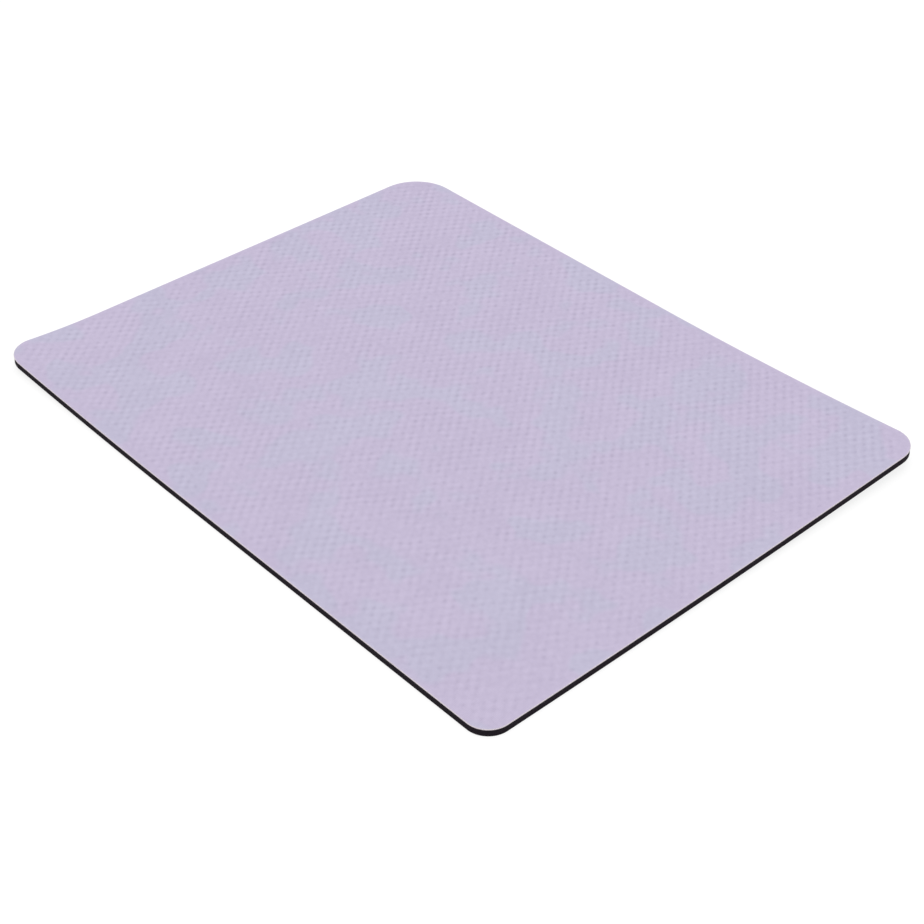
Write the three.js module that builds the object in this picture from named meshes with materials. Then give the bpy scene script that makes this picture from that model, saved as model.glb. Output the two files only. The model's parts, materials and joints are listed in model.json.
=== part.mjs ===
// Slim cloth mouse pad: a knitted cloth face, an adhesive film and a sponge rubber base.
// The sheets are laminated first and then cut through in one stroke, so all three share one edge.
// Millimetres, +Z up. X runs along the long side and Y along the short side.
// The origin is the middle of the underside, on the surface that the pad lies on.

import * as THREE from 'three';

// Outline of the cut
const LENGTH = 279.4;
const WIDTH = 215.9;
const NEAR_RIGHT_RADIUS = 9;
const FAR_RIGHT_RADIUS = 12;
const FAR_LEFT_RADIUS = 18;
const NEAR_LEFT_RADIUS = 12.5;

// Thickness of each sheet
const BASE_THICKNESS = 2.6;
const FILM_THICKNESS = 0.1;
const CLOTH_THICKNESS = 0.3;

// The die presses the cut edge of the cloth into a small round.
const CLOTH_EDGE_ROUND = 0.2;

// Two opposite corners curl up off the table. A lift is the rise of the square corner. The two reaches
// are how far the curl runs from that corner along the long and the short side before the pad lies flat.
const FAR_RIGHT_LIFT = 4.5;
const FAR_RIGHT_LONG_REACH = 130;
const FAR_RIGHT_SHORT_REACH = 215;
const NEAR_LEFT_LIFT = 2.8;
const NEAR_LEFT_LONG_REACH = 120;
const NEAR_LEFT_SHORT_REACH = 45;

// Fineness of the facets
const ARC_STEPS = 8;
const SIDE_STEPS = 8;
const FACE_RINGS = 8;
const ROUND_STEPS = 3;

// Corners run anticlockwise seen from above. x and y tell which end and which side a corner is at.
const QUARTER_TURN = Math.PI / 2;
const CORNERS = [
  { x: 1, y: -1, radius: NEAR_RIGHT_RADIUS, start: -QUARTER_TURN },
  { x: 1, y: 1, radius: FAR_RIGHT_RADIUS, start: 0 },
  { x: -1, y: 1, radius: FAR_LEFT_RADIUS, start: QUARTER_TURN },
  { x: -1, y: -1, radius: NEAR_LEFT_RADIUS, start: 2 * QUARTER_TURN },
];
const CURLS = [
  {
    x: 1,
    y: 1,
    lift: FAR_RIGHT_LIFT,
    longReach: FAR_RIGHT_LONG_REACH,
    shortReach: FAR_RIGHT_SHORT_REACH,
  },
  {
    x: -1,
    y: -1,
    lift: NEAR_LEFT_LIFT,
    longReach: NEAR_LEFT_LONG_REACH,
    shortReach: NEAR_LEFT_SHORT_REACH,
  },
];

// Height that the curled corners add at a point of the plan. It grows with the square of the way past
// the line where the curl begins, so the flat middle runs into it without a crease.
function curlRise(x, y) {
  let rise = 0;
  for (const curl of CURLS) {
    const longShare = (LENGTH / 2 - curl.x * x) / curl.longReach;
    const shortShare = (WIDTH / 2 - curl.y * y) / curl.shortReach;
    rise += curl.lift * Math.max(0, 1 - longShare - shortShare) ** 2;
  }
  return rise;
}

// Points round the cut edge, drawn in by inset, anticlockwise seen from above.
function cutEdge(inset) {
  const outline = new THREE.Shape();
  for (const corner of CORNERS) {
    const centreX = corner.x * (LENGTH / 2 - corner.radius);
    const centreY = corner.y * (WIDTH / 2 - corner.radius);
    outline.absarc(centreX, centreY, corner.radius - inset, corner.start, corner.start + QUARTER_TURN);
  }
  outline.closePath();
  return outline.curves.flatMap((curve) => {
    const steps = curve.isLineCurve ? SIDE_STEPS : ARC_STEPS;
    return curve.getPoints(steps).slice(0, steps);
  });
}

// One sheet of the laminate with its underside at local height 0. Both faces are rings of the cut edge
// shrinking to a middle point, so neighbouring sheets have the same facets where they touch.
function sheetGeometry(thickness, edgeRound) {
  const positions = [];
  const triangles = [];

  function addPoint(x, y, height) {
    positions.push(x, y, height + curlRise(x, y));
    return positions.length / 3 - 1;
  }

  function addLoop(edge, scale, height) {
    return edge.map((point) => addPoint(point.x * scale, point.y * scale, height));
  }

  // Joins two loops of as many points each. The facets face outwards where the second loop lies above
  // the first, and up where it lies inside the first.
  function joinLoops(first, second) {
    first.forEach((point, i) => {
      const next = (i + 1) % first.length;
      triangles.push([point, first[next], second[next]], [point, second[next], second[i]]);
    });
  }

  // Fills a loop with rings shrinking to the middle, and turns the facets over for an underside.
  function fillFace(rim, edge, height, facesUp) {
    const firstTriangle = triangles.length;
    let outer = rim;
    for (let ring = FACE_RINGS - 1; ring > 0; ring -= 1) {
      const inner = addLoop(edge, ring / FACE_RINGS, height);
      joinLoops(outer, inner);
      outer = inner;
    }
    const middle = addPoint(0, 0, height);
    outer.forEach((point, i) => triangles.push([point, outer[(i + 1) % outer.length], middle]));
    if (!facesUp) {
      triangles.slice(firstTriangle).forEach((triangle) => triangle.reverse());
    }
  }

  const wallEdge = cutEdge(0);
  const bottomRim = addLoop(wallEdge, 1, 0);
  fillFace(bottomRim, wallEdge, 0, false);

  let topEdge = wallEdge;
  let topRim = addLoop(topEdge, 1, thickness - edgeRound);
  joinLoops(bottomRim, topRim);
  const roundSteps = edgeRound > 0 ? ROUND_STEPS : 0;
  for (let step = 1; step <= roundSteps; step += 1) {
    const angle = QUARTER_TURN * step / roundSteps;
    topEdge = cutEdge(edgeRound * (1 - Math.cos(angle)));
    const rounded = addLoop(topEdge, 1, thickness - edgeRound * (1 - Math.sin(angle)));
    joinLoops(topRim, rounded);
    topRim = rounded;
  }
  fillFace(topRim, topEdge, thickness, true);

  const geometry = new THREE.BufferGeometry();
  geometry.setAttribute('position', new THREE.Float32BufferAttribute(positions, 3));
  geometry.setIndex(triangles.flat());
  geometry.computeVertexNormals();
  return geometry;
}

// The laminate, from the table up
const SHEETS = [
  { name: 'rubber_base', thickness: BASE_THICKNESS, edgeRound: 0, color: 0x1b191b, roughness: 0.9 },
  { name: 'bond_film', thickness: FILM_THICKNESS, edgeRound: 0, color: 0xe6e1d6, roughness: 0.5 },
  {
    name: 'cloth_top',
    thickness: CLOTH_THICKNESS,
    edgeRound: CLOTH_EDGE_ROUND,
    color: 0xc6bdd5,
    roughness: 0.95,
  },
];

const pad = new THREE.Group();
let height = 0;
for (const { name, thickness, edgeRound, color, roughness } of SHEETS) {
  const finish = new THREE.MeshStandardMaterial({ color, roughness, metalness: 0 });
  const mesh = new THREE.Mesh(sheetGeometry(thickness, edgeRound), finish);
  mesh.name = name;
  mesh.position.z = height;
  pad.add(mesh);
  height += thickness;
}

export default pad;
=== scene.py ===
import json
import math

import bpy
import numpy as np
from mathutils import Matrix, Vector, noise


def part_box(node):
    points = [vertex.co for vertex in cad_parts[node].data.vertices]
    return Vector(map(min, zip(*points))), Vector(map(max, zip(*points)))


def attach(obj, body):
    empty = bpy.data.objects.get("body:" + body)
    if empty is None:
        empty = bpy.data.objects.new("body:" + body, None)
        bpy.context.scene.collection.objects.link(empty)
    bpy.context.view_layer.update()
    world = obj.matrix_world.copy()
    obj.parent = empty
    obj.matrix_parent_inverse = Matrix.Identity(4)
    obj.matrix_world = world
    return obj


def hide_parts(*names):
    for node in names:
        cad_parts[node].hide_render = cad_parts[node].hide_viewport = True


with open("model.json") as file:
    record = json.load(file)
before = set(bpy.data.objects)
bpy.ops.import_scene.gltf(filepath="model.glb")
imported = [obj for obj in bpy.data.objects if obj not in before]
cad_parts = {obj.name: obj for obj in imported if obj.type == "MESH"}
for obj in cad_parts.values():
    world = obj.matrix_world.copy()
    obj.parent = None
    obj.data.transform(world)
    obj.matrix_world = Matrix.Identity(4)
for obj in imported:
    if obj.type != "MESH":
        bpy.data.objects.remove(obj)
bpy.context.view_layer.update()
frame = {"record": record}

# Rubber base: a sheet of black closed-cell sponge rubber, foamed on an embossed belt that leaves dimples in
# its underside, which grip the desk. The laminate is stamped out with one die, which presses the dimples
# flat along the cut. The wall is bare sponge, drawn in a little where it sprang back.
base_low, base_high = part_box("rubber_base")
base_bottom = base_low[2]
base_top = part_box("bond_film")[0][2]
half_length = (base_high[0] - base_low[0]) / 2
half_width = (base_high[1] - base_low[1]) / 2

# Each corner by the end and the side that it is at: its cut radius, and for a curled one how high it
# rises and how far the curl reaches along the long and the short side.
corners = {
    (1, -1): {"radius": 0.009},
    (1, 1): {"radius": 0.012, "lift": 0.0045, "reaches": (0.130, 0.215)},
    (-1, 1): {"radius": 0.018},
    (-1, -1): {"radius": 0.0125, "lift": 0.0028, "reaches": (0.120, 0.045)},
}

dimple_cell = (0.0054, 0.0054)
dimple_depth = 0.00035
steps_per_dimple = 6
under_steps = (dimple_cell[0] / steps_per_dimple, dimple_cell[1] / steps_per_dimple)
pressed_flat = 0.004
bare_share = 0.2
base_edge_round = 0.00006
wall_rows = 7
wall_draw = 0.00008
wall_waver = 0.00004
waver_pitch = 0.006
waver_up_wall = 3
bonded_ring_count = 7
crease_angle = math.radians(50)


def curl_rise(x, y):
    """Height that the curled corners add at points of the plan."""
    rise = np.zeros_like(x)
    for (end, side), corner in corners.items():
        if "lift" in corner:
            long_share = (half_length - end * x) / corner["reaches"][0]
            short_share = (half_width - side * y) / corner["reaches"][1]
            rise += corner["lift"] * np.maximum(0, 1 - long_share - short_share) ** 2
    return rise


def lines_across(half, step, inset):
    """Lines at whole steps from the middle of the pad, with its two edges, drawn in, as the outer ones."""
    count = int((half - step / 2) / step)
    inner = np.arange(-count, count + 1) * step
    return np.concatenate([[inset - half], inner, [half - inset]])


def cut_plan(steps, inset):
    """A grid over the pad in plan whose outer lines follow the die's cut, drawn in by inset."""
    x, y = np.meshgrid(
        lines_across(half_length, steps[0], inset),
        lines_across(half_width, steps[1], inset),
        indexing="ij",
    )
    for (end, side), corner in corners.items():
        arc_x = half_length - corner["radius"]
        arc_y = half_width - corner["radius"]
        radius = corner["radius"] - inset
        across = (end * x - arc_x) / radius
        along = (side * y - arc_y) / radius
        # The square patch of the grid in the corner is mapped on to the quarter disc.
        rounded = (across > 0) & (along > 0)
        across, along = across[rounded], along[rounded]
        x[rounded] = end * (arc_x + radius * across * np.sqrt(1 - along ** 2 / 2))
        y[rounded] = side * (arc_y + radius * along * np.sqrt(1 - across ** 2 / 2))
    return np.stack([x, y], axis=-1)


def to_edge(x, y):
    """How far points of the plan are from the die's cut."""
    gap = np.minimum(half_length - np.abs(x), half_width - np.abs(y))
    for (end, side), corner in corners.items():
        past_x = end * x - half_length + corner["radius"]
        past_y = side * y - half_width + corner["radius"]
        rounded = (past_x > 0) & (past_y > 0)
        gap = np.where(rounded, corner["radius"] - np.hypot(past_x, past_y), gap)
    return gap


def eased(share):
    """A share kept from 0 to 1, with a soft start and a soft end."""
    kept = np.clip(share, 0, 1)
    return kept ** 2 * (3 - 2 * kept)


def staggered_dots(plan, cell, start, lean, skew, calm_width):
    """From 0 to 1 in dots at the corners and the middle of each cell, which die out towards the cut.

    A lean of 0 makes round dots, and a higher one draws them out along one diagonal. A skew sets each
    row of dots off by that share of its way along."""
    x, y = plan[..., 0], plan[..., 1]
    across = 2 * np.pi * (x + skew * y) / cell[0]
    along = 2 * np.pi * y / cell[1]
    wave = ((1 + lean) * np.cos(across + along) + (1 - lean) * np.cos(across - along)) / 2
    return eased((wave - start) / (1 - start)) * eased(to_edge(x, y) / calm_width - bare_share)


def rim_of(grid):
    """The outer loop of a grid, anticlockwise seen from above."""
    return np.concatenate([grid[:, 0], grid[-1, 1:], grid[-2::-1, -1], grid[0, -2:0:-1]])


def at_height(plan, height):
    """Points of the plan at a height above the desk, lifted by the curl."""
    lifted = height + curl_rise(plan[..., 0], plan[..., 1])
    return np.concatenate([plan, lifted[..., None]], axis=-1)


def bonded_rings(plan_rim, height):
    """Loops that shrink from the rim towards the middle, over the side of a layer that is bonded."""
    shares = [1 - ring / bonded_ring_count for ring in range(1, bonded_ring_count)]
    return [at_height(plan_rim * share, height) for share in shares]


def layer_faces(columns, rows, loop_count, grid_up):
    """Faces of the grid of a layer, and then those of its loops, down to a fan round the middle point."""
    turned = slice(None, None, -1)
    index = np.arange(columns * rows).reshape(columns, rows)
    quads = np.stack([index[:-1, :-1], index[1:, :-1], index[1:, 1:], index[:-1, 1:]], axis=-1)
    grid_faces = quads.reshape(-1, 4)
    last = rim_of(index)
    edge_faces = []
    for number in range(loop_count):
        loop = index.size + number * len(last) + np.arange(len(last))
        strip = np.stack([last, np.roll(last, -1), np.roll(loop, -1), loop], axis=-1)
        edge_faces += (strip[:, turned] if grid_up else strip).tolist()
        last = loop
    middle = np.full(len(last), last[-1] + 1)
    fan = np.stack([last, np.roll(last, -1), middle], axis=-1)
    edge_faces += (fan[:, turned] if grid_up else fan).tolist()
    return (grid_faces if grid_up else grid_faces[:, turned]).tolist(), edge_faces


def layer_piece(name, grid, loops, middle_height, finishes, grid_up):
    """One closed layer: a grid for the side that shows, loops over its wall and bonded side, and a middle.

    The first finish is for the grid and the second for the rest. Every point is marked with its way in
    from the die's cut, which tells how much it is rubbed and pressed."""
    grid_faces, edge_faces = layer_faces(*grid.shape[:2], len(loops), grid_up)
    points = np.concatenate([grid.reshape(-1, 3), *loops, [[0, 0, middle_height]]])
    mesh = bpy.data.meshes.new(name)
    mesh.from_pydata(points.tolist(), [], grid_faces + edge_faces)
    for finish in finishes:
        mesh.materials.append(finish)
    finish_numbers = np.repeat(np.array([0, 1], np.int32), [len(grid_faces), len(edge_faces)])
    mesh.polygons.foreach_set("material_index", finish_numbers)
    mesh.shade_smooth()
    mesh.set_sharp_from_angle(angle=crease_angle)
    from_cut = mesh.attributes.new("from_cut", "FLOAT", "POINT")
    from_cut.data.foreach_set("value", to_edge(points[:, 0], points[:, 1]))
    piece = bpy.data.objects.new(name, mesh)
    bpy.context.collection.objects.link(piece)
    return piece


def new_finish(name):
    """A material with its node tree and its shader."""
    finish = bpy.data.materials.new(name)
    finish.use_nodes = True
    return finish, finish.node_tree, finish.node_tree.nodes["Principled BSDF"]


def feed(tree, node, sockets):
    """Links or sets the sockets of a node by their names or places."""
    for socket, value in sockets.items():
        if isinstance(value, bpy.types.NodeSocket):
            tree.links.new(value, node.inputs[socket])
        else:
            node.inputs[socket].default_value = value


def add_node(tree, kind, sockets, **settings):
    """A node with its settings and its sockets."""
    made = tree.nodes.new(kind)
    for setting, value in settings.items():
        setattr(made, setting, value)
    feed(tree, made, sockets)
    return made


def calc(tree, operation, *values):
    """The result of one step of sums on sockets and numbers."""
    return add_node(tree, "ShaderNodeMath", dict(enumerate(values)), operation=operation).outputs[0]


def spread(tree, value, low, high, to_low, to_high):
    """A value from low to high moved to the range from to_low to to_high, and kept inside it."""
    steps = {"Value": value, "From Min": low, "From Max": high, "To Min": to_low, "To Max": to_high}
    return add_node(tree, "ShaderNodeMapRange", steps).outputs["Result"]


def tint(tree, share, first, second):
    """A colour between two colours."""
    mix = add_node(tree, "ShaderNodeMix", {0: share, 6: first, 7: second}, data_type="RGBA")
    return mix.outputs[2]


def place_on(tree):
    """Where a point of the piece is, in metres."""
    return add_node(tree, "ShaderNodeTexCoord", {}).outputs["Object"]


def grain_of(tree, place, size, detail):
    """A soft random grain of a size. Most of it lies in usual_grain."""
    sockets = {"Vector": place, "Scale": 1 / size, "Detail": detail}
    return add_node(tree, "ShaderNodeTexNoise", sockets).outputs["Fac"]


usual_grain = (0.3, 0.7)


def graded(tree, grain, low, high):
    """A grain moved to the range from low to high."""
    return spread(tree, grain, *usual_grain, low, high)


def cells_of(tree, place, size):
    """Random cells of a size: the distance from the middle of each, 0 to about 0.7."""
    sockets = {"Vector": place, "Scale": 1 / size}
    return add_node(tree, "ShaderNodeTexVoronoi", sockets).outputs["Distance"]


def bumped(tree, height, depth, strength):
    """The normal of a surface with a relief of a depth."""
    sockets = {"Strength": strength, "Distance": depth, "Height": height}
    return add_node(tree, "ShaderNodeBump", sockets).outputs["Normal"]


def way_in(tree):
    """How far a point is in from the die's cut, in metres."""
    return add_node(tree, "ShaderNodeAttribute", {}, attribute_name="from_cut").outputs["Fac"]


def rubbed_edge(tree, place, reach):
    """How much the surface is rubbed, from 1 on the die's cut to 0 at a reach in from it, in patches."""
    patch_size, patch_detail = 0.02, 3.0
    patch_range = (0.4, 0.6)
    least_rubbed = 0.25
    near = spread(tree, way_in(tree), 0.0, reach, 1.0, 0.0)
    patches = spread(tree, grain_of(tree, place, patch_size, patch_detail), *patch_range, least_rubbed, 1.0)
    return calc(tree, "MULTIPLY", near, patches)


def cut_sponge():
    """The cut through the sponge: pores painted darker as shade in a dark skin, greyer where the wall's
    edges are rubbed.
    """
    painted_pore_shade = (0.0035, 0.0026, 0.0037, 1)
    skin_black = (0.0152, 0.0106, 0.0163, 1)
    rubbed_grey = (0.036, 0.03, 0.037, 1)
    pore_size, pore_range = 0.00042, (0.12, 0.45)
    grain_size, grain_detail = 0.0012, 5.0
    grain_height = 0.5
    relief, relief_strength = 0.00006, 0.8
    rubbed_reach = 0.00004
    finish, tree, shader = new_finish("cut_sponge")
    place = place_on(tree)
    grain = grain_of(tree, place, grain_size, grain_detail)
    skin = spread(tree, cells_of(tree, place, pore_size), *pore_range, 0.0, 1.0)
    height = calc(tree, "MULTIPLY_ADD", grain, grain_height, skin)
    # Painted shade: the open pores are coloured darker than the sponge's skin.
    pored = tint(tree, skin, painted_pore_shade, skin_black)
    feed(tree, shader, {
        "Base Color": tint(tree, rubbed_edge(tree, place, rubbed_reach), pored, rubbed_grey),
        "Roughness": graded(tree, grain, 0.8, 0.98),
        "Specular IOR Level": 0.12,
        "Normal": bumped(tree, height, relief, relief_strength),
    })
    return finish


def moulded_sponge():
    """The moulded skin of the underside: dusty in patches, and greyer where its border is rubbed."""
    deep_black = (0.006, 0.0055, 0.006, 1)
    dusty_black = (0.014, 0.0135, 0.0145, 1)
    rubbed_grey = (0.026, 0.025, 0.026, 1)
    grain_size, grain_detail = 0.0009, 6.0
    dust_size, dust_detail = 0.03, 3.0
    dust_range = (0.12, 0.4)
    relief, relief_strength = 0.00005, 0.6
    rubbed_reach = 0.004
    finish, tree, shader = new_finish("moulded_sponge")
    place = place_on(tree)
    grain = grain_of(tree, place, grain_size, grain_detail)
    mottle = calc(tree, "MULTIPLY", grain, grain_of(tree, place, dust_size, dust_detail))
    dusty = tint(tree, spread(tree, mottle, *dust_range, 0.0, 1.0), deep_black, dusty_black)
    feed(tree, shader, {
        "Base Color": tint(tree, rubbed_edge(tree, place, rubbed_reach), dusty, rubbed_grey),
        "Roughness": graded(tree, grain, 0.62, 0.85),
        "Specular IOR Level": 0.25,
        "Normal": bumped(tree, grain, relief, relief_strength),
    })
    return finish


under_plan = cut_plan(under_steps, base_edge_round)
dimples = staggered_dots(under_plan, dimple_cell, start=0.0, lean=0.0, skew=0.0, calm_width=pressed_flat)
under_height = base_bottom + dimple_depth * dimples
under_grid = at_height(under_plan, under_height)

wall_line = rim_of(cut_plan(under_steps, 0.0))
outward = (wall_line - rim_of(under_plan)) / base_edge_round
wall_foot = rim_of(under_height) + base_edge_round
base_loops = []
for row in range(wall_rows + 1):
    share = row / wall_rows
    noise_places = [Vector((x / waver_pitch, y / waver_pitch, waver_up_wall * share)) for x, y in wall_line]
    waver = np.array([noise.noise(place) for place in noise_places])
    drawn = math.sin(math.pi * share) * (wall_draw + wall_waver * waver)
    height = wall_foot + (base_top - wall_foot) * share
    base_loops.append(at_height(wall_line - outward * drawn[:, None], height))
base_loops += bonded_rings(wall_line, base_top)

base_finishes = [moulded_sponge(), cut_sponge()]
foam_base = layer_piece("foam_base", under_grid, base_loops, base_top, base_finishes, grid_up=False)
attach(foam_base, "root")
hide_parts("rubber_base")

# Adhesive film: a thin milky sheet of hot-melt glue that is rolled on warm and bonds the cloth to the
# sponge. Only its edge shows, as a hair line between the two, a little behind the cut where the glue
# drew back.
film_bottom = base_top
film_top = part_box("cloth_top")[0][2]
film_steps = (0.0015, 0.0015)
film_draw = 0.00006


def milky_glue():
    """Set hot-melt glue, cloudy in streaks."""
    clear, cloudy = (0.42, 0.4, 0.36, 1), (0.6, 0.57, 0.52, 1)
    streak_size, streak_detail = 0.004, 4.0
    relief, relief_strength = 0.00002, 0.4
    finish, tree, shader = new_finish("milky_glue")
    streak = grain_of(tree, place_on(tree), streak_size, streak_detail)
    feed(tree, shader, {
        "Base Color": tint(tree, streak, clear, cloudy),
        "Roughness": graded(tree, streak, 0.35, 0.55),
        "Normal": bumped(tree, streak, relief, relief_strength),
    })
    return finish


film_plan = cut_plan(film_steps, film_draw)
film_line = rim_of(film_plan)
film_grid = at_height(film_plan, film_top)
film_loops = [at_height(film_line, film_bottom)] + bonded_rings(film_line, film_bottom)
film_finishes = [milky_glue()] * 2
glue_film = layer_piece("glue_film", film_grid, film_loops, film_bottom, film_finishes, grid_up=True)
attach(glue_film, "root")
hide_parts("bond_film")

# Cloth face: a fine polyester knit, dyed lavender on its face, with a tuck stitch at regular places that
# leaves staggered rows of faint pits. It is rolled on to the warm film, a little askew. The die shuts the
# pits along the cut and presses the edge round, where the paler heart of the yarn shows.
cloth_bottom = film_top
cloth_top = next(m["pos_m"][2] for m in frame["record"]["mounts"] if m["name"] == "cloth_face")
cloth_steps = (0.00076, 0.00096)
cloth_edge_round = 0.0002
round_rows = 3
pit_cell = (0.0042, 0.0056)
pit_start = 0.2
pit_lean = 0.12
pit_depth = 0.00015
pressed_edge = 0.004
knit_skew = 0.084
wales_per_cell, courses_per_cell = 6, 10
wale = pit_cell[0] / wales_per_cell
course = pit_cell[1] / courses_per_cell


def knit_ways(tree, place):
    """The ways across and along the wales, in metres. The cloth lies a little askew, so they lean."""
    axes = add_node(tree, "ShaderNodeSeparateXYZ", {"Vector": place}).outputs
    return calc(tree, "MULTIPLY_ADD", axes["Y"], knit_skew, axes["X"]), axes["Y"]


def knit_relief(tree, ways):
    """Height of the yarn, from 0 to 1: each wale is a column of stitches with two slanting legs."""
    leg_slant = 0.55
    loop_height = 0.35
    leg_roundness = 0.06
    across = calc(tree, "DIVIDE", ways[0], wale)
    along = calc(tree, "DIVIDE", ways[1], course)
    from_heart = calc(tree, "MULTIPLY", calc(tree, "PINGPONG", across, 0.5), 2.0)
    leg = calc(tree, "SINE", calc(tree, "MULTIPLY", from_heart, math.pi))
    slanted = calc(tree, "MULTIPLY_ADD", from_heart, leg_slant, along)
    loop = calc(tree, "COSINE", calc(tree, "MULTIPLY", slanted, 2 * math.pi))
    crown = calc(tree, "MULTIPLY_ADD", loop, loop_height, 1 - loop_height)
    rounded = calc(tree, "SQRT", calc(tree, "ADD", leg, leg_roundness))
    return calc(tree, "MULTIPLY", rounded, crown)


def pit_wave(tree, ways):
    """From 1 in the middle of each pit of the knit to -1 on the crown between pits."""
    across = calc(tree, "MULTIPLY", ways[0], 2 * math.pi / pit_cell[0])
    along = calc(tree, "MULTIPLY", ways[1], 2 * math.pi / pit_cell[1])
    waves = []
    for turn, share in (("ADD", (1 + pit_lean) / 2), ("SUBTRACT", (1 - pit_lean) / 2)):
        slanted = calc(tree, "COSINE", calc(tree, turn, across, along))
        waves.append(calc(tree, "MULTIPLY", slanted, share))
    return calc(tree, "ADD", *waves)


def smooth_step(tree, value, low, high):
    """0 below low and 1 above high, with a smooth rise between."""
    steps = {"Value": value, "From Min": low, "From Max": high}
    step = add_node(tree, "ShaderNodeMapRange", steps, interpolation_type="SMOOTHSTEP")
    return step.outputs["Result"]


def painted_pit_strength(tree, place):
    """How strong the painted shade in the pits and the painted light on the crowns between them are:
    none along the cut, and less towards the near right corner."""
    far_corner_strength, near_corner_strength = 1.25, 0.65
    axes = add_node(tree, "ShaderNodeSeparateXYZ", {"Vector": place}).outputs
    across = calc(tree, "MULTIPLY", axes["X"], 1 / (2 * half_length))
    to_corner = calc(tree, "MULTIPLY_ADD", axes["Y"], -1 / (2 * half_width), across)
    corner_fade = spread(tree, to_corner, -1.0, 1.0, far_corner_strength, near_corner_strength)
    shut, full = bare_share * pressed_edge, (1 + bare_share) * pressed_edge
    return calc(tree, "MULTIPLY", corner_fade, smooth_step(tree, way_in(tree), shut, full))


def lavender_knit():
    """The dyed knit: painted shade in gaps and pits, painted light on crowns, paler where it is rubbed."""
    bluish_dye, pinkish_dye = (0.606, 0.574, 0.738, 1), (0.631, 0.562, 0.741, 1)
    # Darker copies of the dye: they carry the painted shade of the pits and yarn gaps, and the random
    # darker tone.
    bluish_painted_shade_and_tone, pinkish_painted_shade_and_tone = (0.459, 0.428, 0.579, 1), (0.478, 0.419, 0.582, 1)
    sheen_tint = (0.86, 0.82, 0.95, 1)
    dye_size, dye_detail, dye_range = 0.023, 2.0, (0.432, 0.492)
    tuck_size, tuck_detail, tuck_range = 0.0045, 3.0, (0.36, 0.64)
    cloud_size, cloud_detail, cloud_shade = 0.02, 3.0, 0.07
    slub_size, slub_detail, slub_shade = 0.0018, 2.0, 0.13
    fibre_size, fibre_detail, fibre_shade = 0.0005, 4.0, 0.06
    gap_shade, yarn_shade = 0.65, 0.07
    faint_painted_pits, deep_painted_pits = 0.03, 0.47
    pit_in_gap, pit_on_yarn = 1.75, 0.25
    painted_crown_light = 0.8
    rubbed_light, rubbed_reach = 0.3, 0.0016
    fibre_height = 0.35
    relief, relief_strength = 0.00006, 0.8
    finish, tree, shader = new_finish("lavender_knit")
    place = place_on(tree)
    ways = knit_ways(tree, place)
    yarn = knit_relief(tree, ways)
    wave = pit_wave(tree, ways)
    fibre = grain_of(tree, place, fibre_size, fibre_detail)
    uneven = spread(tree, grain_of(tree, place, tuck_size, tuck_detail), *tuck_range, faint_painted_pits, deep_painted_pits)
    # Painted shade and light: the pits are coloured darker, most in the gaps between the yarn, and the
    # crowns between them paler.
    pit = smooth_step(tree, wave, pit_start, 1.0)
    pit = calc(tree, "MULTIPLY", pit, spread(tree, yarn, 0.0, 1.0, pit_in_gap, pit_on_yarn))
    painted_pits_and_crowns = calc(tree, "MULTIPLY_ADD", calc(tree, "MINIMUM", wave, 0.0), painted_crown_light, pit)
    shade = calc(tree, "MULTIPLY", calc(tree, "MULTIPLY", painted_pits_and_crowns, uneven), painted_pit_strength(tree, place))
    # Painted shade: the gaps between the yarn are coloured darker than the tops of the stitches.
    stitches = spread(tree, yarn, 0.0, 1.0, gap_shade, yarn_shade)
    fuzz = graded(tree, fibre, -fibre_shade, fibre_shade)
    slubs = graded(tree, grain_of(tree, place, slub_size, slub_detail), -slub_shade, slub_shade)
    cloud = graded(tree, grain_of(tree, place, cloud_size, cloud_detail), -cloud_shade, cloud_shade)
    for layer in (stitches, fuzz, slubs, cloud):
        shade = calc(tree, "ADD", shade, layer)
    shade = calc(tree, "MULTIPLY_ADD", rubbed_edge(tree, place, rubbed_reach), -rubbed_light, shade)
    pinkness = spread(tree, grain_of(tree, place, dye_size, dye_detail), *dye_range, 0.0, 1.0)
    dyed = tint(tree, pinkness, bluish_dye, pinkish_dye)
    shaded = tint(tree, pinkness, bluish_painted_shade_and_tone, pinkish_painted_shade_and_tone)
    height = calc(tree, "MULTIPLY_ADD", fibre, fibre_height, yarn)
    feed(tree, shader, {
        "Base Color": tint(tree, shade, dyed, shaded),
        "Roughness": graded(tree, fibre, 0.86, 0.98),
        "Specular IOR Level": 0.2,
        "Sheen Weight": 0.08,
        "Sheen Roughness": 0.5,
        "Sheen Tint": sheen_tint,
        "Normal": bumped(tree, height, relief, relief_strength),
    })
    return finish


def cut_yarn():
    """The cut ends of the yarn: pale fuzzy hearts, with painted shade in the darker gaps between."""
    heart, gap = (0.87, 0.79, 0.84, 1), (0.67, 0.6, 0.66, 1)
    yarn_size, gap_range = 0.00035, (0.2, 0.7)
    fuzz_size, fuzz_detail = 0.0002, 4.0
    relief, relief_strength = 0.00006, 0.6
    finish, tree, shader = new_finish("cut_yarn")
    place = place_on(tree)
    # Painted shade: the gaps between the yarn ends are a darker copy of the heart's colour.
    gaps = spread(tree, cells_of(tree, place, yarn_size), *gap_range, 0.0, 1.0)
    fuzz = grain_of(tree, place, fuzz_size, fuzz_detail)
    feed(tree, shader, {
        "Base Color": tint(tree, gaps, heart, gap),
        "Roughness": graded(tree, fuzz, 0.88, 1.0),
        "Specular IOR Level": 0.2,
        "Sheen Weight": 0.1,
        "Normal": bumped(tree, calc(tree, "SUBTRACT", fuzz, gaps), relief, relief_strength),
    })
    return finish


face_plan = cut_plan(cloth_steps, cloth_edge_round)
pits = staggered_dots(face_plan, pit_cell, pit_start, pit_lean, knit_skew, pressed_edge)
face_grid = at_height(face_plan, cloth_top - pit_depth * pits)

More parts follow.
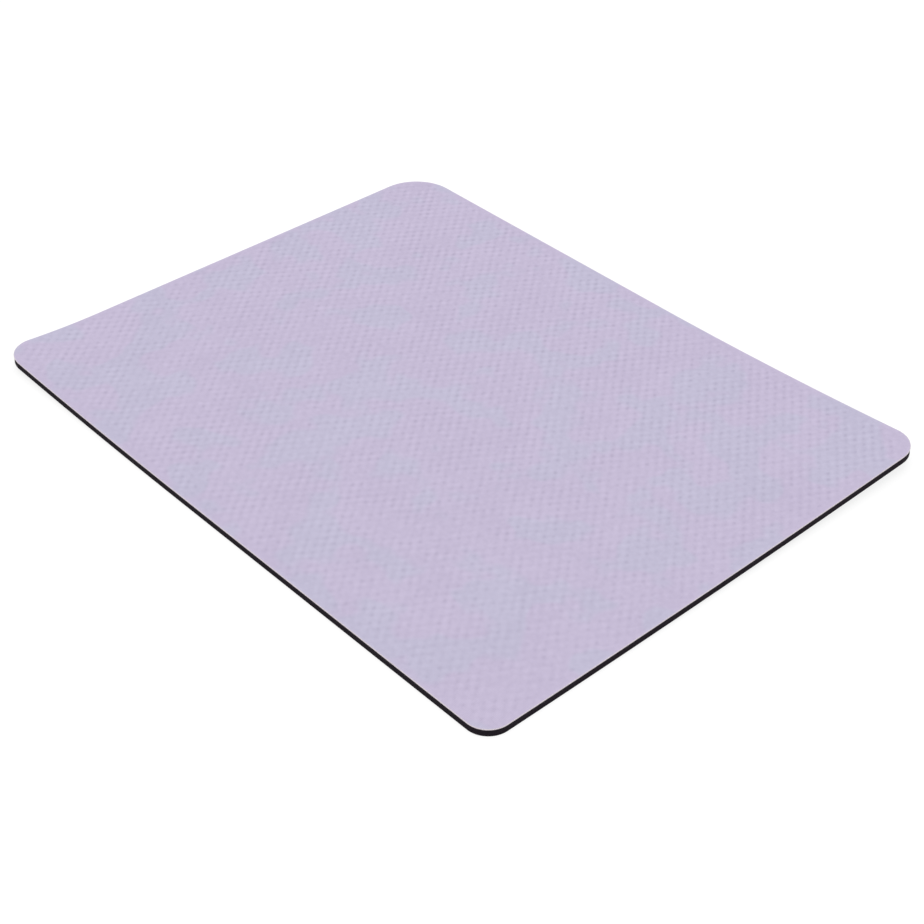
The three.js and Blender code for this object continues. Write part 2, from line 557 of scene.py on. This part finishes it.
cloth_loops = []
for row in range(1, round_rows + 1):
    angle = math.pi / 2 * row / round_rows
    edge_line = rim_of(cut_plan(cloth_steps, cloth_edge_round * (1 - math.sin(angle))))
    cloth_loops.append(at_height(edge_line, cloth_top - cloth_edge_round * (1 - math.cos(angle))))
cloth_line = rim_of(cut_plan(cloth_steps, 0.0))
cloth_loops.append(at_height(cloth_line, cloth_bottom))
cloth_loops += bonded_rings(cloth_line, cloth_bottom)

cloth_finishes = [lavender_knit(), cut_yarn()]
knit_cloth = layer_piece("knit_cloth", face_grid, cloth_loops, cloth_bottom, cloth_finishes, grid_up=True)
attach(knit_cloth, "root")
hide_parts("cloth_top")

# Floor: a plain pale studio floor that the pad lies on. It shows white where nothing shades it, and keeps
# the soft shadow under the pad's edge.
floor_half = 4.0
floor_gap = 0.00002
floor_bounce = (0.8, 0.8, 0.8, 1)
floor_seen = (0.26, 0.26, 0.26, 1)
floor_glow = 0.81
white = (1, 1, 1, 1)


def shown_directly(tree):
    """1 for what the camera sees, also in a mirror or through glass, and 0 for light that only bounces."""
    ray = add_node(tree, "ShaderNodeLightPath", {}).outputs
    mirrored = calc(tree, "MAXIMUM", ray["Is Glossy Ray"], ray["Is Transmission Ray"])
    return calc(tree, "MAXIMUM", ray["Is Camera Ray"], mirrored)


def pale_floor():
    """Paint that bounces light as a pale floor does, and is lit up to white where it is seen."""
    paint = bpy.data.materials.new("pale_floor")
    paint.use_nodes = True
    tree = paint.node_tree
    tree.nodes.remove(tree.nodes["Principled BSDF"])
    bounce = add_node(tree, "ShaderNodeBsdfDiffuse", {"Color": floor_bounce})
    seen = add_node(tree, "ShaderNodeBsdfDiffuse", {"Color": floor_seen})
    glow = add_node(tree, "ShaderNodeEmission", {"Color": white, "Strength": floor_glow})
    lit = add_node(tree, "ShaderNodeAddShader", {0: seen.outputs[0], 1: glow.outputs[0]})
    layers = {0: shown_directly(tree), 1: bounce.outputs[0], 2: lit.outputs[0]}
    mix = add_node(tree, "ShaderNodeMixShader", layers)
    tree.links.new(mix.outputs[0], tree.nodes["Material Output"].inputs["Surface"])
    return paint


floor_mesh = bpy.data.meshes.new("floor")
floor_corners = [(-1, -1), (1, -1), (1, 1), (-1, 1)]
floor_points = [(floor_half * x, floor_half * y, -floor_gap) for x, y in floor_corners]
floor_mesh.from_pydata(floor_points, [], [(0, 1, 2, 3)])
floor_mesh.materials.append(pale_floor())
floor = bpy.data.objects.new("floor", floor_mesh)
bpy.context.collection.objects.link(floor)

# Studio light: an even white room light, and one large soft lamp high over the pad. What the camera sees
# of the room is plain white.
room_level = 0.74
backdrop_level = 1.0
lamp_size = 2.0
lamp_place = Vector((-0.05, 0.15, 2.4))
lamp_watts = 17.7

world = bpy.data.worlds.new("white_room")
bpy.context.scene.world = world
world.use_nodes = True
room_tree = world.node_tree
room = room_tree.nodes["Background"]
feed(room_tree, room, {"Color": white, "Strength": room_level})
backdrop = add_node(room_tree, "ShaderNodeBackground", {"Color": white, "Strength": backdrop_level})
room_layers = {0: shown_directly(room_tree), 1: room.outputs[0], 2: backdrop.outputs[0]}
room_mix = add_node(room_tree, "ShaderNodeMixShader", room_layers)
room_tree.links.new(room_mix.outputs[0], room_tree.nodes["World Output"].inputs["Surface"])

lamp_data = bpy.data.lights.new("soft_lamp", "AREA")
lamp_data.size = lamp_size
lamp_data.energy = lamp_watts
lamp = bpy.data.objects.new("soft_lamp", lamp_data)
lamp.location = lamp_place
lamp.rotation_mode = "QUATERNION"
lamp.rotation_quaternion = (-lamp_place).to_track_quat("-Z", "Y")
bpy.context.collection.objects.link(lamp)

# Camera: it stands off the near right corner and looks down on the pad from the photograph's angle, with
# a long lens from about 0.7 m.
view_azimuth = math.radians(48.016)
view_elevation = math.radians(37.47)
view_target = Vector((0.02872, -0.01807, 0.0))
view_distance = 0.70668
sensor_width = 36.0
lens_length = 75.514
nearest_seen = 0.01

camera_data = bpy.data.cameras.new("camera")
camera_data.sensor_width = sensor_width
camera_data.lens = lens_length
camera_data.clip_start = nearest_seen
camera = bpy.data.objects.new("camera", camera_data)
back = Vector((
    math.sin(view_azimuth) * math.cos(view_elevation),
    -math.cos(view_azimuth) * math.cos(view_elevation),
    math.sin(view_elevation),
))
camera.location = view_target + back * view_distance
camera.rotation_mode = "QUATERNION"
camera.rotation_quaternion = (-back).to_track_quat("-Z", "Y")
bpy.context.collection.objects.link(camera)
bpy.context.scene.camera = camera

# Colours: they show as they are written.
bpy.context.scene.view_settings.view_transform = "Standard"
